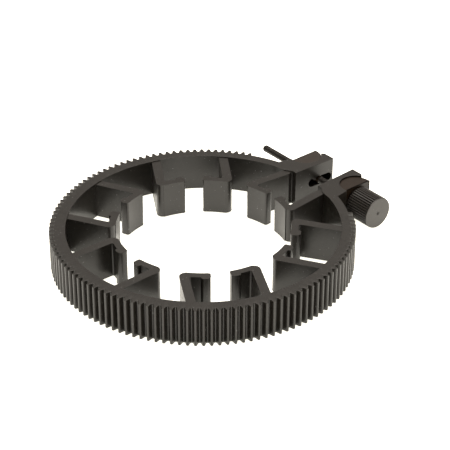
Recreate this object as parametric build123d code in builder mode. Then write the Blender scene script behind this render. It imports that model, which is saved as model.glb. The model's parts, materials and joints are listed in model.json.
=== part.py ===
"""Adjustable split gear ring: a toothed ring that clamps round a lens barrel.

The origin is on the ring's axis at its lower face, +Z is along the axis and +X points
at the split, where a thumb screw draws two ears together.
The ring is one moulding whose back and twelve finger roots bend, so each stretch that
keeps its shape is a solid of its own, and each bending place is a round knuckle.
"""

from build123d import *
from math import atan2, cos, degrees, hypot, radians, sin, sqrt, tan
import os

os.makedirs("parts", exist_ok=True)

# Gear teeth
MODULE = 0.8
FULL_CIRCLE_TEETH = 126
TEETH_EACH_SIDE = 52  # besides the one opposite the split
PRESSURE_ANGLE = 20
FACE_WIDTH = 13.25

# Band
BAND_INNER_R = 46.6
PLAIN_OUTER_R = 49.7  # the toothless stretches beside the ears
BACK_PIVOT_X = -48.0
BACK_KNUCKLE_R = 1.3
BACK_GAP = 0.4

# Fingers, in the frame of a pair whose centre line is +X
PAIR_ANGLES = (57.5, 118.7, 180.0)
FINGER_HEIGHT = 12.75
LEG_THICKNESS = 3.0
ROOT_AT = (44.5, 12.0)
LEG_LEAN = -1.0
SPLIT_ROOT_AT = (45.6, 8.8)
SPLIT_LEG_LEAN = 5.9
PAD_TIP_ANGLE = 6.0
SPLIT_PAD_TIP_ANGLE = 3.9
PAD_INNER_R = 29.4
PAD_THICKNESS = 2.3
BEAD_RISE = 1.0
BEAD_WIDTH = 3.0
ELBOW_OUTER_ROUNDING = 1.5
ELBOW_INNER_ROUNDING = 0.6
TIP_INNER_ROUNDING = 0.7
TIP_OUTER_ROUNDING = 1.2
BEAD_END_ROUNDING = 0.7

# Ears, pockets and the clamp
PIVOT_X = 57.9
PIVOT_Y = 13.3
BARREL_R = 5.8
BARREL_FLAT_Y = 13.8
BARREL_RECESS = 0.5
SLOT_LENGTH = 10.4
SLOT_WIDTH = 3.3
EAR_END_X = 64.0
EAR_GAP_OUTER = 4.9  # from the centre plane to the gap face at the ear's end
EAR_GAP_INNER = 5.75
EAR_LIP = (63.0, 10.6)  # where the ear's end reaches the pocket
EAR_HEEL = (52.3, 14.6)
EAR_CORNER = (51.6, 14.7)
EAR_END_Y = 9.5
EAR_ROOT_ANGLE = 17.3  # where the ear grows from the band's outside
EAR_BORE_AT = (45.65, 9.92)
PLAIN_START_ANGLE = 15.0
BAND_END_ANGLE = 14.0
EAR_FLUTE_AT = (46.25, 7.2)
FLUTE_AT = (46.4, 6.3)  # relief groove where the gap face meets the band's bore
FLUTE_R = 0.9

SCREW_R = 1.25
SCREW_LENGTH = 55.0
SCREW_TIP_Y = 35.3
SCREW_HEAD_R = 2.25
SCREW_HEAD_LENGTH = 2.5
SCREW_TIP_CHAMFER = 0.3
KNOB_R = 5.7
KNOB_FACE_Y = -24.5
KNURL_COUNT = 40
KNURL_DEPTH = 0.35

RUNNING_CLEARANCE = 0.05
SCREW_CLEARANCE = 0.07
THRUST_GAP = 0.1

# Sizes that follow
PITCH_R = MODULE * FULL_CIRCLE_TEETH / 2
TIP_R = PITCH_R + MODULE
ROOT_R = PITCH_R - 1.25 * MODULE
TOOTH_ANGLE = 360 / FULL_CIRCLE_TEETH
LAST_TOOTH_ANGLE = 180 - TEETH_EACH_SIDE * TOOTH_ANGLE
AXIS_Z = FACE_WIDTH / 2
BAND_OVERLAP_R = BAND_INNER_R + 0.4
PAD_OUTER_R = PAD_INNER_R + PAD_THICKNESS


def polar(radius, angle):
    """The point at that radius and angle in degrees."""
    return (radius * cos(radians(angle)), radius * sin(radians(angle)))


def pair_plane(angle):
    """A horizontal plane at the lower face, with X along a finger pair's centre line."""
    return Plane(origin=(0, 0, 0), x_dir=(*polar(1, angle), 0), z_dir=(0, 0, 1))


def tooth_face():
    """One tooth on +X: nearly straight flanks, as the involutes of a large gear are."""
    half_at_pitch = MODULE * radians(180) / 4
    slope = tan(radians(PRESSURE_ANGLE))
    tip_half = half_at_pitch - (TIP_R - PITCH_R) * slope
    foot_r = BAND_OVERLAP_R
    foot_half = half_at_pitch + (PITCH_R - foot_r) * slope
    with BuildSketch() as tooth:
        with BuildLine():
            Polyline(
                (foot_r, -foot_half),
                (TIP_R, -tip_half),
                (TIP_R, tip_half),
                (foot_r, foot_half),
                close=True,
            )
        make_face()
    return tooth.sketch


def ear_points(side):
    """The ear's outline, from the band round the gap face and the pocket."""
    outline = [
        polar(BAND_OVERLAP_R, EAR_ROOT_ANGLE),
        EAR_BORE_AT,
        EAR_FLUTE_AT,
        (FLUTE_AT[0] + FLUTE_R / 2, EAR_GAP_INNER),
        (EAR_END_X, EAR_GAP_OUTER),
        (EAR_END_X, EAR_END_Y),
        EAR_LIP,
        (PIVOT_X, PIVOT_Y),
        EAR_HEEL,
        EAR_CORNER,
        polar(PLAIN_OUTER_R, EAR_ROOT_ANGLE),
    ]
    return [(x, side * y) for x, y in outline]


def finger_list(side):
    """(pair angle, hand, root, lean, tip angle) of each finger of one ring half."""
    fingers = [(0.0, side, SPLIT_ROOT_AT, SPLIT_LEG_LEAN, SPLIT_PAD_TIP_ANGLE)]
    for angle in PAIR_ANGLES:
        for hand in (-side, side):
            if angle < 180 or hand == -side:
                fingers.append((side * angle, hand, ROOT_AT, LEG_LEAN, PAD_TIP_ANGLE))
    return fingers


def on_flank(root, lean, offset, radius):
    """Where the leg's line, moved sideways by offset, crosses a circle about the axis."""
    inward = (-cos(radians(lean)), sin(radians(lean)))
    start = (root[0] + offset * inward[1], root[1] - offset * inward[0])
    along = start[0] * inward[0] + start[1] * inward[1]
    reach = -along - sqrt(along**2 - hypot(*start) ** 2 + radius**2)
    return (start[0] + reach * inward[0], start[1] + reach * inward[1])


def finger(pair_angle, hand, root, lean, tip_angle):
    """A leg that hangs from the band, with a curved pad turned back towards the pair."""
    half = LEG_THICKNESS / 2
    inward = (-cos(radians(lean)), sin(radians(lean)))
    side_step = (half * inward[1], -half * inward[0])
    root_out = (root[0] + side_step[0], root[1] + side_step[1])
    root_in = (root[0] - side_step[0], root[1] - side_step[1])
    root_back = (root[0] - half * inward[0], root[1] - half * inward[1])
    elbow_out = on_flank(root, lean, half, PAD_INNER_R)
    elbow_in = on_flank(root, lean, -half, PAD_OUTER_R)
    bead_span = degrees(BEAD_WIDTH / PAD_OUTER_R)
    bead_r = PAD_OUTER_R + BEAD_RISE
    tip_in = polar(PAD_INNER_R, tip_angle)
    tip_out = polar(bead_r, tip_angle)
    bead_end = polar(bead_r, tip_angle + bead_span)
    bead_foot = polar(PAD_OUTER_R, tip_angle + bead_span)
    elbow_angle = degrees(atan2(elbow_out[1], elbow_out[0]))
    inner_elbow_angle = degrees(atan2(elbow_in[1], elbow_in[0]))

    def place(point):
        return (point[0], hand * point[1])

    inner_middle = polar(PAD_INNER_R, (tip_angle + elbow_angle) / 2)
    outer_middle = polar(PAD_OUTER_R, (tip_angle + bead_span + inner_elbow_angle) / 2)
    with BuildPart() as built:
        with BuildSketch(pair_plane(pair_angle)):
            with BuildLine():
                Line(place(root_out), place(elbow_out))
                ThreePointArc(place(elbow_out), place(inner_middle), place(tip_in))
                Line(place(tip_in), place(tip_out))
                Line(place(tip_out), place(bead_end))
                Line(place(bead_end), place(bead_foot))
                ThreePointArc(place(bead_foot), place(outer_middle), place(elbow_in))
                Line(place(elbow_in), place(root_in))
                ThreePointArc(place(root_in), place(root_back), place(root_out))
            make_face()
        extrude(amount=FINGER_HEIGHT)
        rounding = {
            elbow_out: ELBOW_OUTER_ROUNDING,
            elbow_in: ELBOW_INNER_ROUNDING,
            tip_in: TIP_INNER_ROUNDING,
            tip_out: TIP_OUTER_ROUNDING,
            bead_end: BEAD_END_ROUNDING,
        }
        for corner, radius in rounding.items():
            x_dir, y_dir = polar(1, pair_angle), polar(1, pair_angle + 90)
            x, y = place(corner)
            spot = Vector(x * x_dir[0] + y * y_dir[0], x * x_dir[1] + y * y_dir[1], AXIS_Z)
            edge = built.edges().filter_by(Axis.Z).sort_by_distance(spot)[0]
            fillet(edge, radius)
    return built


def ring_half(side):
    """One half of the toothed band with its ear, cut clear of the other half at the back."""
    socket_r = LEG_THICKNESS / 2 + RUNNING_CLEARANCE
    teeth_at = [180 - side * TOOTH_ANGLE * k for k in range(TEETH_EACH_SIDE + 1)]
    has_knuckle = side > 0
    beyond = TIP_R + 1
    plain_span = LAST_TOOTH_ANGLE - PLAIN_START_ANGLE
    plain_middle = PLAIN_START_ANGLE + plain_span / 2
    with BuildPart() as half:
        with BuildSketch():
            Circle(ROOT_R)
            with Locations(*[Location((0, 0, 0), (0, 0, a)) for a in teeth_at]):
                add(tooth_face())
            Circle(BAND_INNER_R, mode=Mode.SUBTRACT)
            with BuildLine():
                Polyline(
                    (-beyond, side * BACK_GAP / 2),
                    (0, side * BACK_GAP / 2),
                    polar(beyond, side * BAND_END_ANGLE),
                    (beyond, side * beyond),
                    (-beyond, side * beyond),
                    close=True,
                )
            make_face(mode=Mode.INTERSECT)
            with BuildLine():
                CenterArc((0, 0), PLAIN_OUTER_R, side * PLAIN_START_ANGLE, side * plain_span)
                Line(
                    polar(PLAIN_OUTER_R, side * LAST_TOOTH_ANGLE),
                    polar(BAND_OVERLAP_R, side * LAST_TOOTH_ANGLE),
                )
                ThreePointArc(
                    polar(BAND_OVERLAP_R, side * LAST_TOOTH_ANGLE),
                    polar(BAND_OVERLAP_R, side * plain_middle),
                    polar(BAND_OVERLAP_R, side * PLAIN_START_ANGLE),
                )
                Line(
                    polar(BAND_OVERLAP_R, side * PLAIN_START_ANGLE),
                    polar(PLAIN_OUTER_R, side * PLAIN_START_ANGLE),
                )
            make_face()
            with BuildLine():
                Polyline(*ear_points(side), close=True)
            make_face()
            with Locations((PIVOT_X, side * PIVOT_Y)):
                Circle(BARREL_R + RUNNING_CLEARANCE, mode=Mode.SUBTRACT)
            with Locations((FLUTE_AT[0], side * FLUTE_AT[1])):
                Circle(FLUTE_R, mode=Mode.SUBTRACT)
            with Locations((BACK_PIVOT_X, 0)):
                if has_knuckle:
                    Circle(BACK_KNUCKLE_R)
                else:
                    Circle(BACK_KNUCKLE_R + RUNNING_CLEARANCE, mode=Mode.SUBTRACT)
            for pair_angle, hand, root, _, _ in finger_list(side):
                distance = hypot(*root)
                angle = pair_angle + hand * degrees(atan2(root[1], root[0]))
                with Locations(polar(distance, angle)):
                    Circle(socket_r, mode=Mode.SUBTRACT)
        extrude(amount=FACE_WIDTH)
        with BuildSketch(Plane.XZ):
            with Locations((PIVOT_X, AXIS_Z)):
                SlotOverall(SLOT_LENGTH, SLOT_WIDTH)
        extrude(amount=-side * PIVOT_Y, mode=Mode.SUBTRACT)
    return half


def pivot_barrel(side, bore_r):
    """A D-section post that turns in the ear's pocket and carries the screw."""
    with BuildPart() as barrel:
        with BuildSketch(Plane.XY.offset(BARREL_RECESS)):
            with Locations((PIVOT_X, side * PIVOT_Y)):
                Circle(BARREL_R)
            with Locations((PIVOT_X, side * (BARREL_FLAT_Y + BARREL_R))):
                Rectangle(3 * BARREL_R, 2 * BARREL_R, mode=Mode.SUBTRACT)
        extrude(amount=FACE_WIDTH - 2 * BARREL_RECESS)
        with BuildSketch(Plane.XZ):
            with Locations((PIVOT_X, AXIS_Z)):
                Circle(bore_r)
        extrude(amount=-side * 2 * PIVOT_Y, mode=Mode.SUBTRACT)
    return barrel


def clamp_screw():
    """The long cap screw; its head is sealed in the knob."""
    head_seat_y = SCREW_TIP_Y - SCREW_LENGTH
    with BuildPart() as screw:
        with BuildSketch(Plane.XZ.offset(-head_seat_y)):
            with Locations((PIVOT_X, AXIS_Z)):
                Circle(SCREW_HEAD_R)
        extrude(amount=SCREW_HEAD_LENGTH)
        with BuildSketch(Plane.XZ.offset(-head_seat_y)):
            with Locations((PIVOT_X, AXIS_Z)):
                Circle(SCREW_R)
        extrude(amount=-SCREW_LENGTH)
        tip = screw.faces().sort_by(Axis.Y)[-1]
        chamfer(tip.edges(), SCREW_TIP_CHAMFER)
    return screw


def thumb_knob():
    """A straight-knurled knob moulded over the screw's head."""
    back_y = -BARREL_FLAT_Y - THRUST_GAP
    head_seat_y = SCREW_TIP_Y - SCREW_LENGTH
    length = back_y - KNOB_FACE_Y
    groove_side = KNURL_DEPTH * sqrt(2)
    with BuildPart() as knob:
        with BuildSketch(Plane.XZ.offset(-KNOB_FACE_Y)):
            with Locations((PIVOT_X, AXIS_Z)):
                Circle(KNOB_R)
                with PolarLocations(KNOB_R, KNURL_COUNT):
                    Rectangle(groove_side, groove_side, rotation=45, mode=Mode.SUBTRACT)
        extrude(amount=-length)
        with BuildSketch(Plane.XZ.offset(-head_seat_y)):
            with Locations((PIVOT_X, AXIS_Z)):
                Circle(SCREW_HEAD_R)
        extrude(amount=SCREW_HEAD_LENGTH, mode=Mode.SUBTRACT)
        with BuildSketch(Plane.XZ.offset(-head_seat_y)):
            with Locations((PIVOT_X, AXIS_Z)):
                Circle(SCREW_R)
        extrude(amount=-SCREW_LENGTH, mode=Mode.SUBTRACT)
    return knob


pieces = {
    "gear_half_knob_side": ring_half(-1),
    "gear_half_nut_side": ring_half(1),
    "plain_pivot_barrel": pivot_barrel(-1, SCREW_R + SCREW_CLEARANCE),
    "threaded_pivot_barrel": pivot_barrel(1, SCREW_R + SCREW_CLEARANCE),
    "clamp_screw": clamp_screw(),
    "thumb_knob": thumb_knob(),
}
numbered = finger_list(1) + finger_list(-1)[::-1]
for number, spec in enumerate(numbered, start=1):
    pieces[f"grip_finger_{number:02d}"] = finger(*spec)

for node, piece in pieces.items():
    piece.part.label = node
    export_step(piece.part, f"parts/{node}.step")
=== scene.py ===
"""Looks of the adjustable split gear ring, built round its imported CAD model.

Outlines are drawn in millimetres in the CAD's own frame: the ring's axis is Z, its lower
face is at z 0 and the split points along +X. Meshes are made in metres.
"""

import json
from math import acos, asin, atan2, cos, degrees, pi, radians, sin, sqrt, tan

import bmesh
import bpy
import numpy as np
from mathutils import Matrix, Vector


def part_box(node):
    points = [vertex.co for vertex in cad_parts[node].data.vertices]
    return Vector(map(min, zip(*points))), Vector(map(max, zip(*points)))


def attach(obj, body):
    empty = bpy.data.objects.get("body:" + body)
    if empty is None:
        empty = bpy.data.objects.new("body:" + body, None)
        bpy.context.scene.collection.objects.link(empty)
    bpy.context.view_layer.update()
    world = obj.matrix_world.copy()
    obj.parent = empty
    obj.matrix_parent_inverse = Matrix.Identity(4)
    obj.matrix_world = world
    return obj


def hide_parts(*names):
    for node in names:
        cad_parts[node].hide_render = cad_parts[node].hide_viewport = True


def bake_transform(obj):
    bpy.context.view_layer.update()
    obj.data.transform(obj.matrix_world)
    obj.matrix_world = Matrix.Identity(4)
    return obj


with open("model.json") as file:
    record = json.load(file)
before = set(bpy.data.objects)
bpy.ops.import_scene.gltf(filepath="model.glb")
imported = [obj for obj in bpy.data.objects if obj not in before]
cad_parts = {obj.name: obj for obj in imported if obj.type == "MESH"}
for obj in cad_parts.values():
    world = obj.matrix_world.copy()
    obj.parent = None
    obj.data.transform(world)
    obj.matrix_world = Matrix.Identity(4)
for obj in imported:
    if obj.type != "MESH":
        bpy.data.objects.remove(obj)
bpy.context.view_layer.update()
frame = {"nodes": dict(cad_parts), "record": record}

MM = 0.001
NUT, KNOB = 1, -1  # the ring's two halves lie on +Y and -Y

# Band and teeth
MODULE = 0.8
FULL_CIRCLE_TEETH = 126
TEETH_EACH_SIDE = 52
PITCH_R = MODULE * FULL_CIRCLE_TEETH / 2
TIP_R = PITCH_R + MODULE
ROOT_R = PITCH_R - 0.9
BASE_R = PITCH_R * cos(radians(20))
TOOTH_ANGLE = 360 / FULL_CIRCLE_TEETH
LAST_TOOTH_ANGLE = 180 - TEETH_EACH_SIDE * TOOTH_ANGLE
BAND_INNER_R = 46.1
INSIDE_SHIFT = np.array([0.27, -0.22])  # how the sprung ring lies: its inside off its rim
PLAIN_OUTER_R = 49.7
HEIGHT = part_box("gear_half_nut_side")[1].z / MM
EDGE = 0.07  # rounding of rims
CUTTER_EDGE = 0.01

# Fingers
FINGER_TOP = HEIGHT - 0.32
FINGER_LIFT = 0.25
LEG_THICKNESS = 3.0
LEG_BURIED = 1.6  # how far a leg's root reaches into the band
ROOT_RELIEF = 0.7  # how far the legs beside the split curve back at the root
ELBOW_ROUNDING = 2.2
PAD_INNER_R = 29.4
PAD_OUTER_R = PAD_INNER_R + 2.3
BEAD_R = PAD_OUTER_R + 1.0
BEAD_WIDTH = 3.0
PAIR_ANGLES = (57.5, 118.7, 180.0)

# Ears and clamp
PIVOT_X, PIVOT_Y = 57.9, 13.3
AXIS_Z = HEIGHT / 2
BARREL_R = 5.8
POCKET_R = 5.85
FLAT_Y = 13.8
SLOT_LENGTH, SLOT_WIDTH = 10.4, 3.3
SCREW_R = 1.25
THREAD_PITCH = 0.45
KNOB_R = 5.7
KNOB_FACE_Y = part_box("thumb_knob")[0].y / MM
KNOB_BACK_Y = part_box("thumb_knob")[1].y / MM
SCREW_TIP_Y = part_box("clamp_screw")[1].y / MM


# ---------------------------------------------------------------- outlines, millimetres

def polar(radius, angle):
    return np.array([radius * cos(radians(angle)), radius * sin(radians(angle))])


def arc(centre, radius, start, end, step=6.0):
    """Points on an arc, both ends included, at most step degrees apart."""
    count = max(2, int(abs(end - start) / step) + 2)
    return [np.array(centre) + polar(radius, a) for a in np.linspace(start, end, count)]


def rounded(corner, before, after, radius, steps=4):
    """The points that round a corner between its two neighbours."""
    corner, before, after = (np.array(p, float) for p in (corner, before, after))
    to_before = (before - corner) / np.linalg.norm(before - corner)
    to_after = (after - corner) / np.linalg.norm(after - corner)
    half_angle = acos(float(np.clip(to_before @ to_after, -1, 1))) / 2
    reach = radius / tan(half_angle)
    bisector = to_before + to_after
    centre = corner + bisector / np.linalg.norm(bisector) * radius / sin(half_angle)
    first, last = corner + to_before * reach - centre, corner + to_after * reach - centre
    start = degrees(atan2(first[1], first[0]))
    turn = (degrees(atan2(last[1], last[0])) - start + 180) % 360 - 180
    return [centre + polar(radius, start + turn * i / steps) for i in range(steps + 1)]


def mirrored(points):
    """The same line on the other side of the XZ plane, run the other way."""
    return [np.array([p[0], -p[1]]) for p in reversed(points)]


def involute_half_angle(radius):
    """Half a tooth's angle, in degrees, at that radius."""
    at_pitch = radians(20)
    at_radius = acos(BASE_R / radius)
    gain = (tan(at_pitch) - at_pitch) - (tan(at_radius) - at_radius)
    return degrees(pi / 2 / FULL_CIRCLE_TEETH + gain)


def tooth(angle):
    """One tooth from its clockwise foot over the tip to its other foot."""
    foot_radii = (ROOT_R + 0.07, ROOT_R + 0.28, 50.0, PITCH_R, 50.8, TIP_R - 0.06)
    flank = [(r, involute_half_angle(r)) for r in foot_radii]
    flank[0] = (flank[0][0], flank[0][1] + 0.09)
    tip = (TIP_R, involute_half_angle(TIP_R) - 0.08)
    rising = [polar(r, angle - half) for r, half in [*flank, tip]]
    falling = [polar(r, angle + half) for r, half in [tip, *reversed(flank)]]
    return rising + falling


def ear():
    """The nut-side ear, from the band's bore out along the gap face and back to the band."""
    cove = (46.61, 7.55)
    end_x = 64.0
    lip_angle, heel_angle = -28, -193
    lip = np.array([PIVOT_X, PIVOT_Y]) + polar(POCKET_R, lip_angle)
    heel = np.array([PIVOT_X, PIVOT_Y]) + polar(POCKET_R, heel_angle)
    gap_start, gap_end = (46.76, 5.78), (end_x, 4.9)
    far_corner = (end_x, 9.5)
    outer_corner = (51.6, 14.75)
    band_meet = polar(PLAIN_OUTER_R, 17.9)
    points = [polar(BAND_INNER_R, 12.3)]
    points += arc(cove, 0.15, 100, 0, 30)
    points += [np.array(gap_start)]
    points += rounded(gap_end, gap_start, far_corner, 0.35)
    points += rounded(far_corner, gap_end, lip, 0.3)
    points += arc((PIVOT_X, PIVOT_Y), POCKET_R, lip_angle, heel_angle, 4)
    points += rounded(outer_corner, heel, band_meet, 0.3)
    return points


def band_outline():
    """The whole C-shaped moulding, anticlockwise, and how many points each stretch has."""
    plain = arc((0, 0), PLAIN_OUTER_R, 17.9, LAST_TOOTH_ANGLE - 1.7, 1.4)
    teeth = []
    for k in range(-TEETH_EACH_SIDE, TEETH_EACH_SIDE + 1):
        angle = 180 + k * TOOTH_ANGLE
        teeth += tooth(angle)
        teeth.append(polar(ROOT_R, angle + TOOTH_ANGLE / 2))
    teeth.pop()
    outer = plain + teeth + mirrored(plain)
    angles = [degrees(atan2(p[1], p[0])) % 360 for p in outer]
    inner = [polar(BAND_INNER_R, a) + INSIDE_SHIFT for a in reversed(angles)]
    nut_ear = ear()
    return nut_ear + outer + mirrored(nut_ear) + inner, len(nut_ear), len(outer)


def finger_specs(side):
    """(pair angle, hand, leg root, lean, pad tip angle, relief) of each finger of one half."""
    specs = [(0.0, side, (45.6, 8.8), 5.9, 3.9, ROOT_RELIEF)]
    for angle in PAIR_ANGLES:
        for hand in (-side, side):
            if angle < 180 or hand == -side:
                specs.append((side * angle, hand, (44.5, 12.0), -1.0, 6.0, 0.0))
    return specs


def flank_at(root, lean, offset, radius):
    """Where the leg's line, moved sideways by offset, crosses a circle about the axis."""
    inward = np.array([-cos(radians(lean)), sin(radians(lean))])
    start = np.array(root) + offset * np.array([inward[1], -inward[0]])
    along = start @ inward
    return start + inward * (-along - sqrt(along**2 - start @ start + radius**2))


def finger_outline(root, lean, tip_angle, relief):
    """A leg and its pad, anticlockwise, in the frame of its pair's centre line. The flank
    nearer that line curves back by relief where it meets the band."""
    half = LEG_THICKNESS / 2
    inward = np.array([-cos(radians(lean)), sin(radians(lean))])
    outward = np.array([inward[1], -inward[0]])
    bead_end_angle = tip_angle + degrees(BEAD_WIDTH / PAD_OUTER_R)
    elbow_out = flank_at(root, lean, half, PAD_INNER_R)
    elbow_in = flank_at(root, lean, -half, PAD_OUTER_R)
    out_angle = degrees(atan2(elbow_out[1], elbow_out[0]))
    in_angle = degrees(atan2(elbow_in[1], elbow_in[0]))
    tip_in, tip_out = polar(PAD_INNER_R, tip_angle), polar(BEAD_R, tip_angle)
    bead_end, bead_foot = polar(BEAD_R, bead_end_angle), polar(PAD_OUTER_R, bead_end_angle)
    buried = np.array(root) - inward * LEG_BURIED

    def leg_side(sign):
        """Down one flank, narrower where it is buried in the band."""
        line = []
        for reach in (0.0, 0.9, 1.2, 1.6, 2.0, 2.4, 2.8, 3.2, 3.6, 4.0, 5.0, 6.0, 7.5, 9.0, 10.5, 12.0):
            narrowing = 0.35 if reach < 1.0 else 0.0
            if sign < 0 and relief:
                curve = min(1.0, max(0.0, (2.6 - reach) / 1.4))
                narrowing = relief * curve**2 * (3 - 2 * curve)
            line.append(buried + inward * reach + outward * sign * (half - narrowing))
        return line

    inner_face = arc((0, 0), PAD_INNER_R, out_angle - 5.0, tip_angle + 1.6, 2.5)
    outer_face = arc((0, 0), PAD_OUTER_R, bead_end_angle + 1.6, in_angle - 1.3, 2.5)
    points = leg_side(1)
    points += rounded(elbow_out, points[-1], inner_face[0], ELBOW_ROUNDING, 7)
    points += inner_face
    points += rounded(tip_in, inner_face[-1], tip_out, 0.7)
    points += rounded(tip_out, tip_in, bead_end, 1.25, 5)
    points += rounded(bead_end, tip_out, bead_foot, 0.7)
    points += rounded(bead_foot, bead_end, outer_face[0], 0.3)
    points += outer_face
    points += rounded(elbow_in, outer_face[-1], leg_side(-1)[-1], 0.6)
    points += leg_side(-1)[::-1]
    return points[::-1]


def turned(points, angle, hand):
    """Outline points turned from a pair's frame into the ring's, still anticlockwise."""
    turn = np.array([polar(1, angle), polar(1, angle + 90)]).T
    placed = [turn @ np.array([p[0], hand * p[1]]) for p in points]
    return placed if hand > 0 else placed[::-1]


# ---------------------------------------------------------------- meshes

def new_object(name, vertices, faces, smooth_angle=35):
    mesh = bpy.data.meshes.new(name)
    mesh.from_pydata([tuple(v) for v in vertices], [], faces)
    mesh.validate()
    obj = bpy.data.objects.new(name, mesh)
    bpy.context.scene.collection.objects.link(obj)
    shade(obj, smooth_angle)
    return obj


def shade(obj, smooth_angle):
    obj.data.polygons.foreach_set("use_smooth", [True] * len(obj.data.polygons))
    obj.data.set_sharp_from_angle(angle=radians(smooth_angle))
    if "weighted" not in obj.modifiers:
        weighted = obj.modifiers.new("weighted", "WEIGHTED_NORMAL")
        weighted.keep_sharp = True


def inset(points, distance):
    """A closed anticlockwise outline moved inwards by distance, corner by corner."""
    p = np.array(points)
    ahead = np.roll(p, -1, axis=0) - p
    ahead /= np.linalg.norm(ahead, axis=1)[:, None]
    behind = np.roll(ahead, 1, axis=0)
    normal = np.stack([ahead[:, 1], -ahead[:, 0]], 1) + np.stack([behind[:, 1], -behind[:, 0]], 1)
    length = np.linalg.norm(normal, axis=1)
    normal /= length[:, None]
    mitre = np.clip(length / 2, 0.55, 1.0)
    return p - normal * (distance / mitre)[:, None]


def prism(name, outline, low, high, edge=EDGE, caps=None, axis_y=False):
    """An upright solid with rounded rims. caps lists the cap's faces; without it, one face.
    With axis_y the outline lies in XZ and the solid runs along Y."""
    steps = 3
    rings = []
    for i in range(steps + 1):
        turn = i / steps * pi / 2
        rings.append((edge * (1 - sin(turn)), low + edge * (1 - cos(turn))))
    rings += [(step_in, low + high - level) for step_in, level in reversed(rings)]
    vertices = []
    for step_in, level in rings:
        for a, b in inset(outline, step_in):
            vertices.append((a * MM, -level * MM, b * MM) if axis_y else (a * MM, b * MM, level * MM))
    count = len(outline)
    faces = []
    for ring in range(len(rings) - 1):
        for i in range(count):
            j = (i + 1) % count
            base = ring * count
            faces.append((base + i, base + j, base + count + j, base + count + i))
    top = (len(rings) - 1) * count
    for cap in caps or [tuple(range(count))]:
        faces.append(tuple(reversed(cap)))
        faces.append(tuple(top + i for i in cap))
    return new_object(name, vertices, faces)


def cut(obj, cutters):
    """Takes the cutters' solids out of obj and removes them."""
    for cutter in cutters:
        boolean = obj.modifiers.new("cut", "BOOLEAN")
        boolean.operation = "DIFFERENCE"
        boolean.solver = "EXACT"
        boolean.object = cutter
    weighted = obj.modifiers["weighted"]
    weighted.show_viewport = False
    bpy.context.view_layer.update()
    graph = bpy.context.evaluated_depsgraph_get()
    result = bpy.data.meshes.new_from_object(obj.evaluated_get(graph))
    for modifier in list(obj.modifiers):
        obj.modifiers.remove(modifier)
    obj.data = result
    for cutter in cutters:
        bpy.data.objects.remove(cutter)
    shade(obj, 35)


def slot_outline():
    half, radius = (SLOT_LENGTH - SLOT_WIDTH) / 2, SLOT_WIDTH / 2
    right = arc((PIVOT_X + half, AXIS_Z), radius, -90, 90, 12)
    left = arc((PIVOT_X - half, AXIS_Z), radius, 90, 270, 12)
    return right + left


def make_band():
    """Band, teeth and ears in one mesh."""
    outline, ear_count, outer_count = band_outline()
    total = len(outline)
    nut_ear = tuple(range(ear_count))
    outer_start = ear_count
    knob_ear_start = ear_count + outer_count
    inner_start = knob_ear_start + ear_count
    caps = []
    for i in range(outer_count - 1):
        a, b = outer_start + i, outer_start + i + 1
        c, d = total - 1 - i - 1, total - 1 - i
        caps.append((a, b, c, d))
    caps.append((*nut_ear, outer_start, total - 1))
    caps.append((*range(knob_ear_start, inner_start), inner_start, knob_ear_start - 1))
    band = prism("moulded_gear_ring", outline, 0, HEIGHT, caps=caps)
    cutters = []
    for side in (NUT, KNOB):
        near, far = sorted((side * 3.0, side * PIVOT_Y))
        cutters.append(prism("slot_cutter", slot_outline(), -far, -near, CUTTER_EDGE, axis_y=True))
    cut(band, cutters)
    return band


def make_finger(number, spec):
    """One finger, from the band to its pad."""
    angle, hand, root, lean, tip_angle, relief = spec
    outline = turned(finger_outline(root, lean, tip_angle, relief), angle, hand)
    outline = [p + INSIDE_SHIFT for p in outline]
    finger = prism(f"finger_{number:02d}_moulding", outline, FINGER_LIFT, FINGER_TOP)
    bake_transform(finger)
    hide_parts(f"grip_finger_{number:02d}")
    return finger


def circle_outline(radius, x=PIVOT_X, y=AXIS_Z, step=10):
    return arc((x, y), radius, 0, 360 - step, step)


def make_barrel(name, node, body, side):
    """A D-section post with the screw's hole and its countersink."""
    flat_half = sqrt(BARREL_R**2 - (FLAT_Y - PIVOT_Y) ** 2)
    flat_angle = degrees(asin((FLAT_Y - PIVOT_Y) / BARREL_R))
    round_side = arc((PIVOT_X, PIVOT_Y), BARREL_R, 180 - flat_angle - 2, 360 + flat_angle + 2, 5)
    right, left = (PIVOT_X + flat_half, FLAT_Y), (PIVOT_X - flat_half, FLAT_Y)
    points = round_side + rounded(right, round_side[-1], left, 0.2)
    points += rounded(left, right, round_side[0], 0.2)
    if side == KNOB:
        points = mirrored(points)
    low, high = (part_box(node)[i].z / MM for i in (0, 1))
    barrel = prism(name, points, low, high, 0.25)
    near, far = sorted((side * 5.0, side * (FLAT_Y + 1)))
    hole = prism("hole_cutter", circle_outline(SCREW_R + 0.06), -far, -near, CUTTER_EDGE, axis_y=True)
    sink = cone_cutter(side)
    cut(barrel, [hole, sink])
    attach(barrel, body)
    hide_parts(node)
    return barrel


def cone_cutter(side):
    """A shallow countersink at the barrel's flat."""
    rings = [(0.9, FLAT_Y - 0.85), (SCREW_R + 0.55, FLAT_Y + 0.05), (SCREW_R + 0.55, FLAT_Y + 0.6)]
    return lathe("sink_cutter", [(r, side * y) for r, y in rings], 36)


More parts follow.
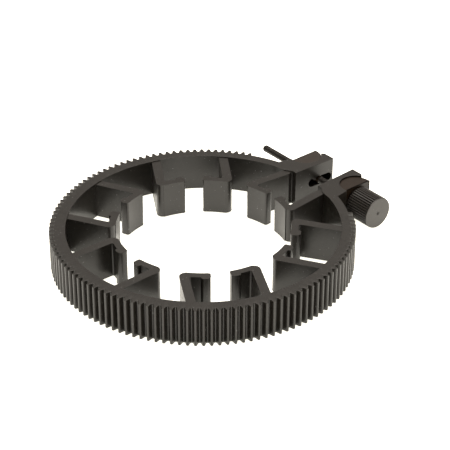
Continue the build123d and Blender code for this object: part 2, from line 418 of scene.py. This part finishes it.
def lathe(name, profile, around, wave=None):
    """A solid turned about the screw's axis. profile is (radius, y) from one end to the
    other; wave(radius, turn) may vary the radius round the axis."""
    vertices, faces = [], []
    for radius, y in profile:
        for i in range(around):
            turn = i / around
            r = wave(radius, turn) if wave else radius
            vertices.append(
                ((PIVOT_X + r * cos(2 * pi * turn)) * MM, y * MM, (AXIS_Z + r * sin(2 * pi * turn)) * MM)
            )
    for ring in range(len(profile) - 1):
        for i in range(around):
            j = (i + 1) % around
            base = ring * around
            faces.append((base + i, base + around + i, base + around + j, base + j))
    faces.append(tuple(range(around)))
    faces.append(tuple(reversed(range((len(profile) - 1) * around, len(profile) * around))))
    if profile[0][1] > profile[-1][1]:
        faces = [tuple(reversed(f)) for f in faces]
    return new_object(name, vertices, faces)


def make_knob():
    """Straight-knurled knob with a dimpled end face."""
    ridges, depth = 40, 0.7
    points_per_ridge = 8

    def knurl(radius, turn):
        """Rounded ridges with narrow grooves that start just behind the end face."""
        phase = (turn * ridges) % 1.0
        groove = max(0.0, 1 - abs(phase - 0.5) / 0.33)
        share = min(1.0, max(0.0, (radius - KNOB_R + 0.1) / 0.1))
        return radius - depth * share * groove

    face_y = KNOB_FACE_Y
    profile = [
        (0.02, face_y + 0.42),
        (0.25, face_y + 0.38),
        (0.5, face_y + 0.18),
        (0.68, face_y + 0.02),
        (0.75, face_y),
        (0.95, face_y),
        (KNOB_R - 0.6, face_y),
        (KNOB_R - 0.2, face_y + 0.01),
        (KNOB_R - 0.12, face_y + 0.07),
        (KNOB_R - 0.1, face_y + 0.15),
        (KNOB_R - 0.1, face_y + 0.32),
        (KNOB_R, face_y + 0.42),
        (KNOB_R, KNOB_BACK_Y - 1.3),
        (KNOB_R - 0.02, KNOB_BACK_Y - 1.0),
        (KNOB_R - 0.3, KNOB_BACK_Y - 0.55),
        (KNOB_R - 1.0, KNOB_BACK_Y - 0.3),
        (KNOB_R - 1.05, KNOB_BACK_Y),
        (1.5, KNOB_BACK_Y),
    ]
    knob = lathe("knurled_knob", profile, ridges * points_per_ridge, knurl)
    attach(knob, "screw")
    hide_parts("thumb_knob")
    return knob


def make_screw():
    """The screw's run from the knob to its tip, with its helical thread."""
    around, rows_per_pitch = 20, 6
    depth = 0.26
    start_y = KNOB_BACK_Y - 0.3
    tip_y = SCREW_TIP_Y
    rows = int((tip_y - start_y) / THREAD_PITCH * rows_per_pitch)
    vertices, faces = [], []
    for row in range(rows + 1):
        y = start_y + (tip_y - start_y) * row / rows
        lead = min(1.0, (tip_y - y) / 0.5)
        for i in range(around):
            turn = i / around
            phase = ((y - start_y) / THREAD_PITCH - turn) % 1.0
            crest = min(1.0, 2.6 * abs(phase - 0.5))
            r = min(SCREW_R - depth * (1 - crest), SCREW_R - 0.35 * (1 - lead))
            vertices.append(
                ((PIVOT_X + r * cos(2 * pi * turn)) * MM, y * MM, (AXIS_Z + r * sin(2 * pi * turn)) * MM)
            )
    for row in range(rows):
        for i in range(around):
            j = (i + 1) % around
            base = row * around
            faces.append((base + i, base + around + i, base + around + j, base + j))
    faces.append(tuple(range(around)))
    faces.append(tuple(reversed(range(rows * around, (rows + 1) * around))))
    screw = new_object("threaded_rod", vertices, faces, 60)
    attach(screw, "screw")
    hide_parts("clamp_screw")
    return screw


# ---------------------------------------------------------------- materials

def node_material(name):
    material = bpy.data.materials.new(name)
    material.use_nodes = True
    tree = material.node_tree
    return material, tree, tree.nodes["Principled BSDF"]


def noise(tree, scale, detail=4.0, roughness=0.6, stretch=(1, 1, 1)):
    coordinates = tree.nodes.new("ShaderNodeTexCoord")
    mapping = tree.nodes.new("ShaderNodeMapping")
    mapping.inputs["Scale"].default_value = stretch
    texture = tree.nodes.new("ShaderNodeTexNoise")
    texture.inputs["Scale"].default_value = scale
    texture.inputs["Detail"].default_value = detail
    texture.inputs["Roughness"].default_value = roughness
    tree.links.new(coordinates.outputs["Object"], mapping.inputs["Vector"])
    tree.links.new(mapping.outputs["Vector"], texture.inputs["Vector"])
    return texture.outputs["Fac"]


def ramp(tree, factor, stops):
    """A colour or value ramp: stops are (position, colour)."""
    node = tree.nodes.new("ShaderNodeValToRGB")
    elements = node.color_ramp.elements
    while len(elements) < len(stops):
        elements.new(0.5)
    for element, (position, colour) in zip(elements, stops):
        element.position = position
        element.color = (*colour, 1) if len(colour) == 3 else colour
    tree.links.new(factor, node.inputs["Fac"])
    return node.outputs["Color"]


def mix(tree, factor, first, second):
    node = tree.nodes.new("ShaderNodeMix")
    node.data_type = "RGBA"
    tree.links.new(factor, node.inputs["Factor"])
    tree.links.new(first, node.inputs[6])
    tree.links.new(second, node.inputs[7])
    return node.outputs[2]


def grey_ramp(tree, factor, low, high, start=0.3, end=0.7):
    return ramp(tree, factor, [(start, (low,) * 3), (end, (high,) * 3)])


def bump(tree, shader, height, strength, distance):
    node = tree.nodes.new("ShaderNodeBump")
    node.inputs["Strength"].default_value = strength
    node.inputs["Distance"].default_value = distance
    tree.links.new(height, node.inputs["Height"])
    tree.links.new(node.outputs["Normal"], shader.inputs["Normal"])


def moulded_plastic(name, dark, light, rough_low, rough_high, speck=0.10):
    """Fine-grained black moulding with faint cloudiness and a few pale specks of dust."""
    material, tree, shader = node_material(name)
    cloud = noise(tree, 90, 3)
    base = ramp(tree, cloud, [(0.3, dark), (0.7, light)])
    dust = noise(tree, 1500, 1, 0.4)
    dust_mask = grey_ramp(tree, dust, 0.0, 1.0, 0.745, 0.775)
    dust_tint = ramp(tree, cloud, [(0.0, (speck,) * 3), (1.0, (speck * 1.2,) * 3)])
    colour = mix(tree, dust_mask, base, dust_tint)
    tree.links.new(colour, shader.inputs["Base Color"])
    grain = noise(tree, 5200, 2, 0.7)
    tree.links.new(grey_ramp(tree, noise(tree, 700, 5), rough_low, rough_high), shader.inputs["Roughness"])
    bump(tree, shader, grain, 0.12, 0.00002)
    return material


def barrel_material(name, specular):
    material, tree, shader = node_material(name)
    cloud = noise(tree, 400, 4)
    colour = ramp(tree, cloud, [(0.3, (0.015, 0.0086, 0.0042)), (0.7, (0.020, 0.0118, 0.0060))])
    tree.links.new(colour, shader.inputs["Base Color"])
    tree.links.new(grey_ramp(tree, noise(tree, 900, 4), 0.28, 0.36), shader.inputs["Roughness"])
    # specular sets how strongly the barrel reflects its surroundings; the threaded barrel's higher level
    # is a painted sheen that makes it look brighter than the near barrel, while its brown stays the same
    shader.inputs["Specular IOR Level"].default_value = specular
    bump(tree, shader, noise(tree, 3500, 2, 0.6, (1, 1, 0.15)), 0.3, 0.00004)
    return material


def screw_material():
    material, tree, shader = node_material("black_oxide_steel")
    cloud = noise(tree, 1200, 4)
    colour = ramp(tree, cloud, [(0.3, (0.020, 0.018, 0.016)), (0.75, (0.045, 0.041, 0.037))])
    tree.links.new(colour, shader.inputs["Base Color"])
    shader.inputs["Metallic"].default_value = 0.35
    tree.links.new(grey_ramp(tree, noise(tree, 2500, 3), 0.32, 0.5), shader.inputs["Roughness"])
    bump(tree, shader, noise(tree, 6000, 2), 0.2, 0.00003)
    return material


def floor_material():
    material, tree, shader = node_material("pale_floor")
    cloud = noise(tree, 3, 2)
    tree.links.new(grey_ramp(tree, cloud, 0.86, 0.88), shader.inputs["Base Color"])
    shader.inputs["Roughness"].default_value = 0.6
    shader.inputs["Emission Color"].default_value = (1, 0.972, 0.855, 1)
    shader.inputs["Emission Strength"].default_value = 1.2
    return material


def paint(obj, material):
    obj.data.materials.clear()
    obj.data.materials.append(material)


# ---------------------------------------------------------------- stage, light and camera

def make_floor():
    half = 3.0
    vertices = [(-half, -half, 0), (half, -half, 0), (half, half, 0), (-half, half, 0)]
    floor = new_object("floor", vertices, [(0, 1, 2, 3)])
    floor.location.z = -0.0002
    return floor


def area_light(name, location, target, size, power):
    light = bpy.data.lights.new(name, "AREA")
    light.shape = "RECTANGLE"
    light.size, light.size_y = size
    light.energy = power
    light.color = (1, 0.925, 0.845)
    obj = bpy.data.objects.new(name, light)
    obj.location = location
    obj.rotation_euler = (Vector(target) - Vector(location)).to_track_quat("-Z", "Y").to_euler()
    bpy.context.scene.collection.objects.link(obj)
    return obj


def make_world():
    """Soft surroundings, brighter behind the ring than in front of it."""
    world = bpy.data.worlds.new("studio")
    bpy.context.scene.world = world
    world.use_nodes = True
    tree = world.node_tree
    background = tree.nodes["Background"]
    background.inputs["Strength"].default_value = 0.5
    coordinates = tree.nodes.new("ShaderNodeTexCoord")
    mapping = tree.nodes.new("ShaderNodeMapping")
    mapping.vector_type = "NORMAL"
    mapping.inputs["Rotation"].default_value = (0, 0, radians(-51.5))
    gradient = tree.nodes.new("ShaderNodeTexGradient")
    tree.links.new(coordinates.outputs["Generated"], mapping.inputs["Vector"])
    tree.links.new(mapping.outputs["Vector"], gradient.inputs["Vector"])
    stops = [(0.0, (0.25, 0.242, 0.225)), (0.5, (1.0, 0.925, 0.85))]
    shade_of = ramp(tree, gradient.outputs["Fac"], stops)
    tree.links.new(shade_of, background.inputs["Color"])


def make_camera():
    """The camera stands off the ring by azimuth, elevation and distance from its origin."""
    azimuth, elevation, distance = radians(-38.706), radians(32.857), 574.07 * MM
    pan, tilt, roll = radians(0.891), radians(31.769), radians(0.102)
    data = bpy.data.cameras.new("camera")
    data.sensor_width = 36.0
    data.lens = 135.82
    data.clip_start, data.clip_end = 0.01, 20
    camera = bpy.data.objects.new("camera", data)
    bpy.context.scene.collection.objects.link(camera)
    place = distance * Vector(
        (sin(azimuth) * cos(elevation), -cos(azimuth) * cos(elevation), sin(elevation))
    )
    heading = Matrix.Rotation(azimuth - pan, 4, "Z")
    nod = Matrix.Rotation(pi / 2 - tilt, 4, "X")
    camera.matrix_world = Matrix.Translation(place) @ heading @ nod @ Matrix.Rotation(roll, 4, "Z")
    bpy.context.scene.camera = camera


def main():
    plastic = moulded_plastic(
        "moulded_black_plastic", (0.0095, 0.0080, 0.0058), (0.0130, 0.0110, 0.0083), 0.29, 0.36
    )
    knob_plastic = moulded_plastic(
        "knob_plastic", (0.026, 0.0235, 0.0205), (0.034, 0.0305, 0.0265), 0.30, 0.38
    )
    brown = barrel_material("brown_black_barrel", 0.3)
    # Same brown for the far, threaded barrel but a stronger reflection: a painted sheen that brightens it
    # against the near barrel
    far_brown_painted_sheen = barrel_material("brown_black_barrel_painted_sheen", 0.55)
    steel = screw_material()

    band = make_band()
    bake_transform(band)
    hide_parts("gear_half_knob_side", "gear_half_nut_side")
    paint(band, plastic)
    numbered = [("nut_half", s) for s in finger_specs(NUT)]
    numbered += [("knob_half", s) for s in reversed(finger_specs(KNOB))]
    for number, (body, spec) in enumerate(numbered, start=1):
        paint(make_finger(number, spec), plastic)

    paint(make_barrel("plain_barrel_post", "plain_pivot_barrel", "plain_barrel", KNOB), brown)
    paint(make_barrel("threaded_barrel_post", "threaded_pivot_barrel", "threaded_barrel", NUT), far_brown_painted_sheen)
    paint(make_screw(), steel)
    paint(make_knob(), knob_plastic)
    slots = {s["node"]: s["material_slot"] for s in frame["record"]["subparts"]}
    finishes = {"moulded_ring": plastic, "pivot_barrel": brown, "screw": steel, "knob": knob_plastic}
    for node, obj in frame["nodes"].items():
        paint(obj, finishes[slots[node]])

    paint(make_floor(), floor_material())
    make_world()
    area_light("overhead", (0.1, 0.2, 1.3), (0, 0, 0), (1.6, 1.6), 30)
    area_light("front_fill", (0.1, -1.2, 0.35), (0, 0, 0), (0.8, 0.5), 3)
    make_camera()
    bpy.context.scene.view_settings.view_transform = "Standard"


main()
